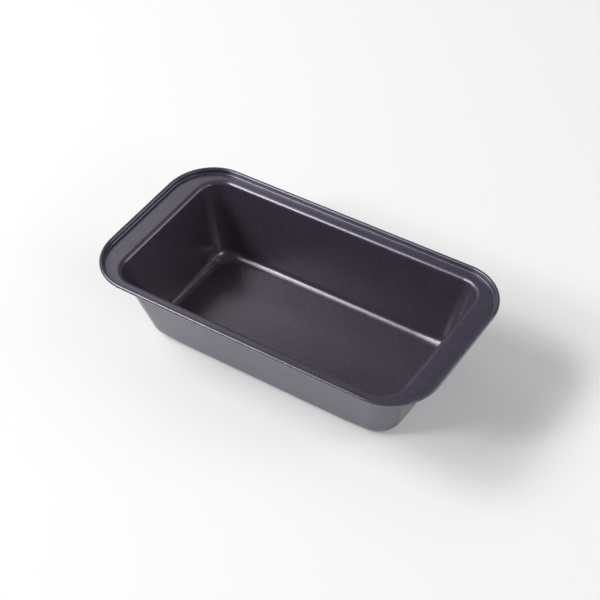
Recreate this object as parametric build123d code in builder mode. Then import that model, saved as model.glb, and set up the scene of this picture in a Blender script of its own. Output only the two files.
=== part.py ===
from build123d import *
import os
from math import cos, radians

# A loaf pan pressed from one steel sheet, with its edge rolled over a steel wire.
# Millimetres. The origin is the centre of the underside, +X runs along the length and +Z is up.

# The tub, on its inner faces, to where the flat faces would meet if the bends were sharp
opening_length = 216.0
opening_width = 111.6
depth = 56.9  # from the ledge's top face down to the floor
end_draft = 12.2  # lean of the end walls, in degrees from upright
side_draft = 11.0  # lean of the side walls, in degrees from upright
tub_corner = 16.0  # radius between the walls, the same from the opening to the floor

# The sheet and its bends
sheet = 0.5
opening_bend = 3.0  # radius of the top face where a wall turns over into the ledge
floor_bend = 6.5  # inside radius where a wall turns into the floor
foot_bend = 1.0  # radius of the top face where the ledge turns up into the rim

# The ledge, from the opening's edge to the riser of the rim
end_ledge = 16.8
side_ledge = 7.5

# The rolled rim and the wire inside it
rim_corner = 34.0  # plan radius of the rim's outer face at the corners
rim_rise = 2.5  # from the ledge's top face up to the centre of the wire
curl_turn = 300.0  # degrees that the sheet curls, from the top of its riser
wire_diameter = 1.5
wire_clearance = 0.1  # between the wire and the sheet round it
wire_gap = 1.5  # between the two ends of the wire

# Sizes that follow
curl_radius = wire_diameter / 2 + wire_clearance + sheet
ledge_under = depth
ledge_top = ledge_under + sheet
wire_level = ledge_top + rim_rise
riser_length = opening_length + 2 * end_ledge  # between the inner faces of the end risers
riser_width = opening_width + 2 * side_ledge  # between the inner faces of the side risers
wire_length = riser_length + 2 * curl_radius  # of the loop along the wire's centre line
wire_width = riser_width + 2 * curl_radius
wire_corner = rim_corner - curl_radius


def tub_block(bottom, wall):
    """Solid form of the tub, on its inner faces moved out through a wall of this thickness."""
    top_length = opening_length + 2 * wall / cos(radians(end_draft))
    top_width = opening_width + 2 * wall / cos(radians(side_draft))
    top_centre = (Align.CENTER, Align.MAX)
    with BuildPart() as block:
        with BuildSketch(Plane.XZ):
            with Locations((0, ledge_top)):
                Trapezoid(top_length, ledge_top - bottom, 90 + end_draft, align=top_centre)
        extrude(amount=top_width / 2, both=True)
        with BuildSketch(Plane.YZ):
            with Locations((0, ledge_top)):
                Trapezoid(top_width, ledge_top - bottom, 90 + side_draft, align=top_centre)
        extrude(amount=top_length / 2, both=True, mode=Mode.INTERSECT)
        # The four sloping corners first, then the loop of edges round the floor
        fillet(block.edges().group_by(Axis.Z)[1], tub_corner + wall)
        fillet(block.edges().group_by(Axis.Z)[0], floor_bend + wall)
    return block.part


os.makedirs("parts", exist_ok=True)
hollow = tub_block(sheet, 0)
outer_form = tub_block(0, sheet)

# Centre line of the wire, which the rim follows round the pan
with BuildLine(Plane.XY.offset(wire_level)) as wire_line:
    FilletPolyline(
        (0, wire_width / 2),
        (wire_length / 2, wire_width / 2),
        (wire_length / 2, -wire_width / 2),
        (0, -wire_width / 2),
        radius=wire_corner,
    )
    mirror(about=Plane.YZ)

# Pan shell: the whole sheet, from the floor out to its cut edge inside the curl
with BuildPart() as pan_shell:
    # Tub, still solid, and the flat ledge round it
    add(outer_form)
    with BuildSketch(Plane.XY.offset(ledge_under)):
        RectangleRounded(
            riser_length - 2 * foot_bend,
            riser_width - 2 * foot_bend,
            wire_corner - curl_radius - foot_bend,
        )
    extrude(amount=sheet)
    # Bend from the walls into the ledge: under the sheet first, then on top once it is hollow
    under_face = pan_shell.faces().filter_by(Axis.Z).filter_by(lambda face: face.inner_wires())[0]
    fillet(under_face.inner_wires()[0].edges(), opening_bend - sheet)
    add(hollow, mode=Mode.SUBTRACT)
    top_face = pan_shell.faces().filter_by(Axis.Z).sort_by(Axis.Z)[-1]
    fillet(top_face.inner_wires()[0].edges(), opening_bend)
    # Foot, riser and curl of the rim, as one section swept round the ledge
    with BuildSketch(Plane.YZ) as rim_section:
        with BuildLine():
            foot_centre = (riser_width / 2 - foot_bend, ledge_top + foot_bend)
            curl_centre = (wire_width / 2, wire_level)
            foot_top = CenterArc(foot_centre, foot_bend, 270, 90)
            foot_under = CenterArc(foot_centre, foot_bend + sheet, 270, 90)
            curl_outside = CenterArc(curl_centre, curl_radius, 180, -curl_turn)
            curl_inside = CenterArc(curl_centre, curl_radius - sheet, 180, -curl_turn)
            Line(foot_top @ 0, foot_under @ 0)
            Line(foot_top @ 1, curl_outside @ 0)
            Line(foot_under @ 1, curl_inside @ 0)
            Line(curl_outside @ 1, curl_inside @ 1)
        make_face()
    sweep(sections=rim_section.sketch, path=wire_line.wires()[0])
pan_shell.part.label = "pan_shell"
export_step(pan_shell.part, "parts/pan_shell.step")

# Rim wire: a round wire bent into a ring inside the curl, its two ends nearly meeting at the back
with BuildPart() as rim_wire:
    with BuildSketch(Plane.YZ):
        with Locations((wire_width / 2, wire_level)):
            Circle(wire_diameter / 2)
    sweep(path=wire_line.wires()[0])
    with Locations((0, wire_width / 2, wire_level)):
        Box(wire_gap, 2 * curl_radius, 2 * curl_radius, mode=Mode.SUBTRACT)
rim_wire.part.label = "rim_wire"
export_step(rim_wire.part, "parts/rim_wire.step")
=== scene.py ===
from math import cos, pi, radians, sin, tan

import bpy
import numpy as np
from mathutils import Matrix, Vector


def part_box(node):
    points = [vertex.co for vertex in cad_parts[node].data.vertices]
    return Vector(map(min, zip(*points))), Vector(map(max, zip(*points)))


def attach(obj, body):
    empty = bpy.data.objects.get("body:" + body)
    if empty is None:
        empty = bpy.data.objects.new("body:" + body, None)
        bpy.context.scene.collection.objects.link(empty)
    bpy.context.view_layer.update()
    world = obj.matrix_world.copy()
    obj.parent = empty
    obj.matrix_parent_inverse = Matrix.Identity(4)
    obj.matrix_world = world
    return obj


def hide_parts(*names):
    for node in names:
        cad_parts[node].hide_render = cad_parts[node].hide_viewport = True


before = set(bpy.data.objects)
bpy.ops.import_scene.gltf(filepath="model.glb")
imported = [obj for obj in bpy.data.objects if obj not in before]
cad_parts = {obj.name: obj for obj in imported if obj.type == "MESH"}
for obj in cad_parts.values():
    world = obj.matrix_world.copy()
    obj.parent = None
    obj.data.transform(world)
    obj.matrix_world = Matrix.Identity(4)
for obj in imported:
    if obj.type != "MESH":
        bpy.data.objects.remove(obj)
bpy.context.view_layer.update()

# Sizes in metres. They are the solids' own, except that the opening's bend, and the floor's bend in
# the corners, are a little fuller here. The outline over the rim comes from pan_shell's bounds in
# model.glb.
rim_half_length, rim_half_width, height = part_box("pan_shell")[1]
sheet = 0.0005
opening_half_length = 0.108  # inner faces of the end walls, at the level of the ledge
opening_half_width = 0.0558
end_lean = radians(12.2)
side_lean = radians(11.0)
tub_corner = 0.016
opening_bend = 0.0035
floor_bend = 0.0065
floor_bend_in_corners = 0.0105
floor_bend_easing = 0.02  # how far along the straights the wide bend of the corners runs out
foot_bend = 0.001
rim_corner = 0.034
rim_rise = 0.0025
curl_radius = 0.00135
curl_turn = radians(300)

wire_level = height - curl_radius
ledge_top = wire_level - rim_rise
rim_centre = (rim_half_length - rim_corner, rim_half_width - rim_corner)

# How finely the skin is divided round the pan: steps round a corner, and where the straight stretches
# are divided, as shares of the way out from the middle of an end or of a side to the corner
corner_steps = 32
end_shares = (0, 0.2, 0.4, 0.5, 0.6, 0.7, 0.8, 0.9)
side_shares = (0.97, 0.94, 0.91, 0.88, 0.85, 0.81, 0.77, 0.72, 0.65, 0.5, 0.25, 0)

# How finely it is divided along its section: steps round the bends, and shares of the flat runs
bend_steps = 14
bend_under_floor_steps = 12
bend_under_ledge_steps = 10
foot_steps = 8
curl_steps = 48
curl_inside_steps = 30
floor_shares = (0.12, 0.3, 0.5, 0.7, 0.84, 0.93, 0.98)
wall_shares = (0.03, 0.1, 0.25, 0.5, 0.75, 0.9, 0.97)
ledge_shares = (0.04, 0.35, 0.65, 0.96)

# The skin's material slots
inside, outside, cut_edge = 0, 1, 2


# ---------------------------------------------------------------- pan shell

def turned(start, end, share):
    """Unit vectors on the arc from start to end, which are unit vectors, by its share from 0 to 1."""
    angle = np.arccos(np.clip((start * end).sum(-1, keepdims=True), -1, 1))
    return (np.sin((1 - share) * angle) * start + np.sin(share * angle) * end) / np.sin(angle)


def unit(vectors):
    return vectors / np.linalg.norm(vectors, axis=-1, keepdims=True)


# One quarter of the pan, from the middle of an end round the corner to the middle of a side.
# The straight stretches are the corner's own two ends, drawn in towards the middle.
corner_share = np.concatenate([
    np.zeros(len(end_shares)),
    np.linspace(0, 1, corner_steps + 1),
    np.ones(len(side_shares)),
])[:, None]
drawn_in = np.ones((len(corner_share), 3))
drawn_in[: len(end_shares), 1] = end_shares
drawn_in[-len(side_shares) :, 0] = side_shares

# Directions out of the tub's wall and of the rim, and the line that the tub's corner is centred on
up = np.tile([0, 0, 1.0], (len(corner_share), 1))
end_out = np.array([cos(end_lean), 0, -sin(end_lean)])
side_out = np.array([0, cos(side_lean), -sin(side_lean)])
wall_out = turned(end_out + 0 * up, side_out, corner_share)
rim_out = np.hstack([np.cos(corner_share * pi / 2), np.sin(corner_share * pi / 2), 0 * corner_share])
corner_line = np.cross(end_out, side_out)
corner_foot = np.array([
    opening_half_length - tub_corner / cos(end_lean),
    opening_half_width - tub_corner / cos(side_lean),
    ledge_top,
])


def tub_at(level, offset):
    """Points of the tub at a level, moved outwards from the inner face by offset."""
    out = (tub_corner + offset) * wall_out
    along = (level - corner_foot[2] - out[:, 2:]) / corner_line[2]
    return (corner_foot + along * corner_line + out) * drawn_in


def rim_at(reach, level):
    """Points of the rim at a reach from its corner's centre, and a level."""
    return (np.array([*rim_centre, level]) + reach * rim_out) * drawn_in


def whole(quarter):
    """The quarter mirrored round the pan, with what is on a mirror line taken once."""
    parts = []
    for sign_x, sign_y in ((1, 1), (-1, 1), (-1, -1), (1, -1)):
        part = quarter * (sign_x, sign_y, 1)
        parts.append(part[:-1] if sign_x == sign_y else part[:0:-1])
    return np.vstack(parts)


# Every ring of the skin in turn, from the middle of the floor out over the rim and back
# underneath: its points with its normals
rings = []


def ring(points, normals):
    rings.append((whole(points), whole(normals)))


def tub_bend(centre, radius, start, end, side, steps):
    """Rings of a bend of the tub about the centres. side is 1 where the skin faces away from them.
    Where the radius eases from one value to another the normals lean with it."""
    nudge = 0.001  # share of the arc to either side, which gives the direction along it
    for share in np.linspace(0, 1, steps + 1):
        points = whole(centre + radius * turned(start, end, share))
        along_arc = whole(turned(start, end, share + nudge) - turned(start, end, share - nudge))
        round_pan = np.roll(points, -1, axis=0) - np.roll(points, 1, axis=0)
        normals = unit(np.cross(along_arc, round_pan))
        facing = whole(turned(start, end, share))
        normals = normals * np.sign((normals * facing).sum(1, keepdims=True))
        rings.append((points, side * normals))


def rim_bend(centre_reach, centre_level, radius, start, turn, side, steps):
    """Rings of a bend of the rim. Angles are from straight outwards, towards up."""
    for angle in np.linspace(start, start + turn, steps + 1):
        out = cos(angle) * rim_out + sin(angle) * up
        ring(rim_at(centre_reach, centre_level) + radius * out, side * out)


def run_to(last, shares):
    """Rings on the way from the ring before to the last one, at these shares of the way."""
    first = rings[-1]
    for share in shares:
        rings.append(((1 - share) * first[0] + share * last[0], first[1]))


# Radius of the bend into the floor. A sample of the quarter belongs to the corner in full at the
# corner's middle and not at all beyond the easing, as measured along the quarter's path.
quarter = tub_at(sheet, 0)
path = np.concatenate([[0], np.cumsum(np.linalg.norm(np.diff(quarter, axis=0), axis=1))])
corner_start, corner_end = path[len(end_shares)], path[-len(side_shares) - 1]
from_middle = np.abs(path - (corner_start + corner_end) / 2)
reach_of_corner = (corner_end - corner_start) / 2 + floor_bend_easing
cornering = np.clip(1 - from_middle / reach_of_corner, 0, 1)[:, None]
cornering = cornering * cornering * (3 - 2 * cornering)
floor_radius = floor_bend + (floor_bend_in_corners - floor_bend) * cornering

floor_centre = tub_at(sheet + floor_radius, -floor_radius)
floor_edge = floor_centre * (1, 1, 0)
opening_centre = tub_at(ledge_top - opening_bend, opening_bend)
foot_reach = rim_corner - 2 * curl_radius - foot_bend
foot_level = ledge_top + foot_bend
curl_reach = rim_corner - curl_radius

# Inside: floor, its bend, the wall, the bend over into the ledge and the ledge
for share in floor_shares:
    ring(share * floor_edge + sheet * up, up)
tub_bend(floor_centre, floor_radius, -up, wall_out, -1, bend_steps)
run_to((whole(opening_centre - opening_bend * wall_out), None), wall_shares)
tub_bend(opening_centre, opening_bend, -wall_out, up, 1, bend_steps)
run_to((whole(rim_at(foot_reach, ledge_top)), None), ledge_shares)
# Rim: foot with the riser, curl, cut edge, inside of the curl and underside of the foot
rim_bend(foot_reach, foot_level, foot_bend, -pi / 2, pi / 2, -1, foot_steps)
rim_bend(curl_reach, wire_level, curl_radius, pi, -curl_turn, 1, curl_steps)
cut_after = len(rings) - 1
rim_bend(curl_reach, wire_level, curl_radius - sheet, pi - curl_turn, curl_turn, -1, curl_inside_steps)
rim_bend(foot_reach, foot_level, foot_bend + sheet, 0, -pi / 2, 1, foot_steps)
# Underside: ledge, bend, wall, bend and floor
run_to((whole(opening_centre + (opening_bend - sheet) * up), None), ledge_shares)
tub_bend(opening_centre, opening_bend - sheet, up, -wall_out, -1, bend_under_ledge_steps)
run_to((whole(floor_centre + (floor_radius + sheet) * wall_out), None), wall_shares)
tub_bend(floor_centre, floor_radius + sheet, wall_out, -up, 1, bend_under_floor_steps)
for share in floor_shares[::-1]:
    ring(share * floor_edge, -up)


def skin_from_rings(name):
    """Closed mesh through the rings, with a fan at each end and the rings' own normals."""
    count = len(rings[0][0])
    floor_middles = [[0, 0, sheet], [0, 0, 0]]
    points = np.vstack([ring_points for ring_points, _ in rings] + floor_middles)
    normals = np.vstack([ring_normals for _, ring_normals in rings])
    last_ring, middle = (len(rings) - 1) * count, len(rings) * count
    neighbours = [(i, (i + 1) % count) for i in range(count)]
    faces, loop_normals, slots = [], [], []
    for i, j in neighbours:
        faces.append((middle, i, j))
        loop_normals += [normals[0]] * 3
        slots.append(inside)
    for k in range(len(rings) - 1):
        low, high = k * count, (k + 1) * count
        for i, j in neighbours:
            corners = (low + i, high + i, high + j, low + j)
            faces.append(corners)
            if k == cut_after:
                # The cut edge is flat, square to the sheet
                a, b, c = points[corners[0]], points[corners[1]], points[corners[3]]
                loop_normals += [unit(np.cross(b - a, c - a))] * 4
                slots.append(cut_edge)
            else:
                loop_normals += [normals[v] for v in corners]
                slots.append(outside if k > cut_after else inside)
    for i, j in neighbours:
        faces.append((middle + 1, last_ring + j, last_ring + i))
        loop_normals += [normals[last_ring]] * 3
        slots.append(outside)
    mesh = bpy.data.meshes.new(name)
    mesh.from_pydata(points.tolist(), [], faces)
    mesh.polygons.foreach_set("material_index", slots)
    mesh.polygons.foreach_set("use_smooth", [True] * len(faces))
    mesh.normals_split_custom_set([tuple(n) for n in loop_normals])
    mesh.update()
    piece = bpy.data.objects.new(name, mesh)
    bpy.context.scene.collection.objects.link(piece)
    return piece


pan = skin_from_rings("pan_shell_skin")
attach(pan, "root")
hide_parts("pan_shell")


# ---------------------------------------------------------------- materials

# Sockets of a colour Mix node by number, as several share a name
mix_factor, mix_first, mix_second, mix_result = 0, 6, 7, 2


def new_material(name, base_color, metallic, roughness):
    material = bpy.data.materials.new(name)
    material.use_nodes = True
    nodes, links = material.node_tree.nodes, material.node_tree.links
    shader = nodes["Principled BSDF"]
    shader.inputs["Base Color"].default_value = (*base_color, 1)
    shader.inputs["Metallic"].default_value = metallic
    shader.inputs["Roughness"].default_value = roughness
    return material, nodes, links, shader


def grain(nodes, links, cells, detail, stretch=(1, 1, 1)):
    """Noise over the piece's own coordinates, with so many cells to the metre."""
    place = nodes.new("ShaderNodeTexCoord")
    mapping = nodes.new("ShaderNodeMapping")
    mapping.inputs["Scale"].default_value = stretch
    noise = nodes.new("ShaderNodeTexNoise")
    noise.inputs["Scale"].default_value = cells
    noise.inputs["Detail"].default_value = detail
    links.new(place.outputs["Object"], mapping.inputs["Vector"])
    links.new(mapping.outputs["Vector"], noise.inputs["Vector"])
    return noise.outputs["Fac"]


def new_mix(nodes):
    mix = nodes.new("ShaderNodeMix")
    mix.data_type = "RGBA"
    return mix


def spread(nodes, links, factor, low, high):
    """The noise's middle range carried over to numbers or colours from low to high."""
    noise_low, noise_high = 0.3, 0.7
    span = nodes.new("ShaderNodeMapRange")
    span.inputs["From Min"].default_value = noise_low
    span.inputs["From Max"].default_value = noise_high
    links.new(factor, span.inputs["Value"])
    if isinstance(low, tuple):
        mix = new_mix(nodes)
        mix.inputs[mix_first].default_value = (*low, 1)
        mix.inputs[mix_second].default_value = (*high, 1)
        links.new(span.outputs["Result"], mix.inputs[mix_factor])
        return mix.outputs[mix_result]
    span.inputs["To Min"].default_value = low
    span.inputs["To Max"].default_value = high
    return span.outputs["Result"]


def blend(nodes, links, factor, first, second):
    mix = new_mix(nodes)
    links.new(factor, mix.inputs[mix_factor])
    links.new(first, mix.inputs[mix_first])
    links.new(second, mix.inputs[mix_second])
    return mix.outputs[mix_result]


def scaled(nodes, links, color, factor):
    scale = nodes.new("ShaderNodeVectorMath")
    scale.operation = "SCALE"
    links.new(color, scale.inputs[0])
    links.new(factor, scale.inputs["Scale"])
    return scale.outputs[0]


def height_range(nodes, links, coordinates, low, high):
    """A Map Range node that goes from 0 to 1 between two values of the coordinates' Z."""
    place = nodes.new("ShaderNodeTexCoord")
    split = nodes.new("ShaderNodeSeparateXYZ")
    rise = nodes.new("ShaderNodeMapRange")
    rise.inputs["From Min"].default_value = low
    rise.inputs["From Max"].default_value = high
    links.new(place.outputs[coordinates], split.inputs["Vector"])
    links.new(split.outputs["Z"], rise.inputs["Value"])
    return rise


def relief(nodes, links, shader, factor, depth, strength):
    bump = nodes.new("ShaderNodeBump")
    bump.inputs["Distance"].default_value = depth
    bump.inputs["Strength"].default_value = strength
    links.new(factor, bump.inputs["Height"])
    links.new(bump.outputs["Normal"], shader.inputs["Normal"])


def new_coating(name, low_tints, rim_tints):
    """Non-stick coating: a thin dark lilac-grey film sprayed on steel, slightly pearly, under a thin
    clear topcoat. It has the fine orange peel of a sprayed film and faint clouds where it lies
    thicker or thinner, and its tint goes from that of the low parts to that of the rim."""
    tint_change = 0.006  # below the ledge's top, where the rim's tint begins
    material, nodes, links, shader = new_material(name, low_tints[0], metallic=0.35, roughness=0.25)
    clouds = grain(nodes, links, cells=45, detail=4)
    mottle = grain(nodes, links, cells=480, detail=2)
    peel = grain(nodes, links, cells=1300, detail=3)
    rise = height_range(nodes, links, "Object", ledge_top - tint_change, ledge_top)
    low = spread(nodes, links, clouds, *low_tints)
    rim = spread(nodes, links, clouds, *rim_tints)
    tint = blend(nodes, links, rise.outputs["Result"], low, rim)
    shade = spread(nodes, links, mottle, 0.9, 1.1)
    links.new(scaled(nodes, links, tint, shade), shader.inputs["Base Color"])
    links.new(spread(nodes, links, mottle, 0.23, 0.27), shader.inputs["Roughness"])
    relief(nodes, links, shader, peel, depth=0.00003, strength=0.3)
    shader.inputs["Specular IOR Level"].default_value = 0.6
    shader.inputs["Coat Weight"].default_value = 0.55
    shader.inputs["Coat Roughness"].default_value = 0.25
    return material


def new_bare_steel(name, dark, light, smooth, rough, marks, depth, strength):
    """Uncoated steel between two shades and two roughnesses, with fine marks, which are the
    arguments of a grain."""
    middle = [(a + b) / 2 for a, b in zip(dark, light)]
    material, nodes, links, shader = new_material(name, middle, 1, (smooth + rough) / 2)
    lines = grain(nodes, links, *marks)
    links.new(spread(nodes, links, lines, dark, light), shader.inputs["Base Color"])
    links.new(spread(nodes, links, lines, smooth, rough), shader.inputs["Roughness"])
    relief(nodes, links, shader, lines, depth, strength)
    return material


# Each tint is given where the coating lies thin and where it lies thick
rim_tints = (0.0636, 0.0545, 0.0876), (0.0731, 0.063, 0.1008)
inside_tints = (0.0689, 0.0545, 0.0766), (0.0795, 0.063, 0.0883)
outside_tints = (0.0637, 0.0523, 0.0907), (0.0732, 0.06, 0.1046)
pan.data.materials.append(new_coating("nonstick_inside", inside_tints, rim_tints))
pan.data.materials.append(new_coating("nonstick_outside", outside_tints, rim_tints))

# The sheet's sheared edge inside the curl, where the steel under the coating shows
cut_steel = new_bare_steel(
    "cut_steel_edge", (0.34, 0.34, 0.35), (0.5, 0.5, 0.51), 0.34, 0.5,
    marks=(900, 4, (1, 1, 0.2)), depth=0.00004, strength=0.4,
)
pan.data.materials.append(cut_steel)

# Drawn steel wire, with a dull skin and fine die lines
wire_steel = new_bare_steel(
    "rim_wire_steel", (0.33, 0.325, 0.32), (0.46, 0.455, 0.45), 0.3, 0.46,
    marks=(2400, 5), depth=0.00003, strength=0.3,
)
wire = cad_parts["rim_wire"]
wire.data.materials.clear()
wire.data.materials.append(wire_steel)


# ---------------------------------------------------------------- floor

floor_half_size = 3.0
floor_lit_white = 0.85  # for the light that the paper passes on
floor_seen_white = 0.82  # to the camera and in reflections, where the glow makes it whiter
floor_seen_glow = 0.16


def new_floor_paper():
    grey = (floor_lit_white,) * 3
    material, nodes, links, shader = new_material("studio_floor_white", grey, 0, 0.9)
    rays = nodes.new("ShaderNodeLightPath")
    seen = rays.outputs["Is Camera Ray"]
    for kind in ("Is Glossy Ray", "Is Transmission Ray"):
        either = nodes.new("ShaderNodeMath")
        either.operation = "MAXIMUM"
        links.new(seen, either.inputs[0])
        links.new(rays.outputs[kind], either.inputs[1])
        seen = either.outputs[0]
    paper = new_mix(nodes)
    paper.inputs[mix_first].default_value = (*grey, 1)
    paper.inputs[mix_second].default_value = (*(floor_seen_white,) * 3, 1)
    glow = nodes.new("ShaderNodeMath")
    glow.operation = "MULTIPLY"
    glow.inputs[1].default_value = floor_seen_glow
    shader.inputs["Emission Color"].default_value = (1, 1, 1, 1)
    links.new(seen, paper.inputs[mix_factor])
    links.new(seen, glow.inputs[0])
    links.new(paper.outputs[mix_result], shader.inputs["Base Color"])
    links.new(glow.outputs[0], shader.inputs["Emission Strength"])
    return material


floor_signs = ((-1, -1), (1, -1), (1, 1), (-1, 1))
floor_corners = [(x * floor_half_size, y * floor_half_size, 0) for x, y in floor_signs]
floor_mesh = bpy.data.meshes.new("studio_floor")
floor_mesh.from_pydata(floor_corners, [], [(0, 1, 2, 3)])
floor_mesh.materials.append(new_floor_paper())
studio_floor = bpy.data.objects.new("studio_floor", floor_mesh)
bpy.context.scene.collection.objects.link(studio_floor)


# ---------------------------------------------------------------- light

light_distance = 3.0
light_target = Vector((0, 0, 0.03))
sky_below_horizon = 0.85  # the pale floor going on
sky_above = 0.19  # a dim room
sky_easing = 0.1  # height of the unit direction at which the room's own level is reached


def softbox(name, azimuth, elevation, width, tallness, brightness):
    """A softbox round the pan: its direction and how large it looks from the pan, in degrees, and
    the brightness of its face, where 1 is white."""
    toward = Vector((
        cos(radians(azimuth)) * cos(radians(elevation)),
        sin(radians(azimuth)) * cos(radians(elevation)),
        sin(radians(elevation)),
    ))
    light = bpy.data.lights.new(name, "AREA")
    light.shape = "ELLIPSE"
    light.size = 2 * light_distance * tan(radians(width / 2))
    light.size_y = 2 * light_distance * tan(radians(tallness / 2))
    area = pi / 4 * light.size * light.size_y
    light.energy = brightness * pi * area
    box = bpy.data.objects.new(name, light)
    box.location = light_target + light_distance * toward
    box.rotation_euler = toward.to_track_quat("Z", "Y").to_euler()
    bpy.context.scene.collection.objects.link(box)


def new_sky(name):
    """White world, bright below the horizon and dim above it."""
    world = bpy.data.worlds.new(name)
    world.use_nodes = True
    nodes, links = world.node_tree.nodes, world.node_tree.links
    background = nodes["Background"]
    background.inputs["Color"].default_value = (1, 1, 1, 1)
    rise = height_range(nodes, links, "Generated", 0, sky_easing)
    rise.interpolation_type = "SMOOTHSTEP"
    rise.inputs["To Min"].default_value = sky_below_horizon
    rise.inputs["To Max"].default_value = sky_above
    links.new(rise.outputs["Result"], background.inputs["Strength"])
    return world


softbox("left_key", 230, 36, 13, 13, 22)
softbox("left_wide", 219, 48, 28, 20, 5.8)
softbox("left_far", 193, 44, 22, 22, 10.5)
softbox("right_front", 343, 27, 16, 18, 5.2)
softbox("right_corner", 6, 14, 26, 22, 0.8)
softbox("right_low", 27, 6, 26, 12, 4.5)
softbox("right_middle", 34, 22, 18, 22, 2.6)
softbox("right_high", 28, 46, 22, 22, 1.2)
softbox("back_left", 150, 42, 30, 24, 1.0)
bpy.context.scene.world = new_sky("studio")


# ---------------------------------------------------------------- camera

camera_place = (0.437873, -0.554055, 0.748584)
camera_azimuth = 38.153  # degrees round from straight in front
camera_elevation = 45.146
camera_roll = -5.488
camera_data = bpy.data.cameras.new("camera")
camera_data.sensor_width = 36
camera_data.lens = 91.90
camera = bpy.data.objects.new("camera", camera_data)
camera.matrix_world = (
    Matrix.Translation(camera_place)
    @ Matrix.Rotation(radians(camera_azimuth), 4, "Z")
    @ Matrix.Rotation(radians(90 - camera_elevation), 4, "X")
    @ Matrix.Rotation(radians(camera_roll), 4, "Z")
)
bpy.context.scene.collection.objects.link(camera)
bpy.context.scene.camera = camera
bpy.context.scene.view_settings.view_transform = "Standard"
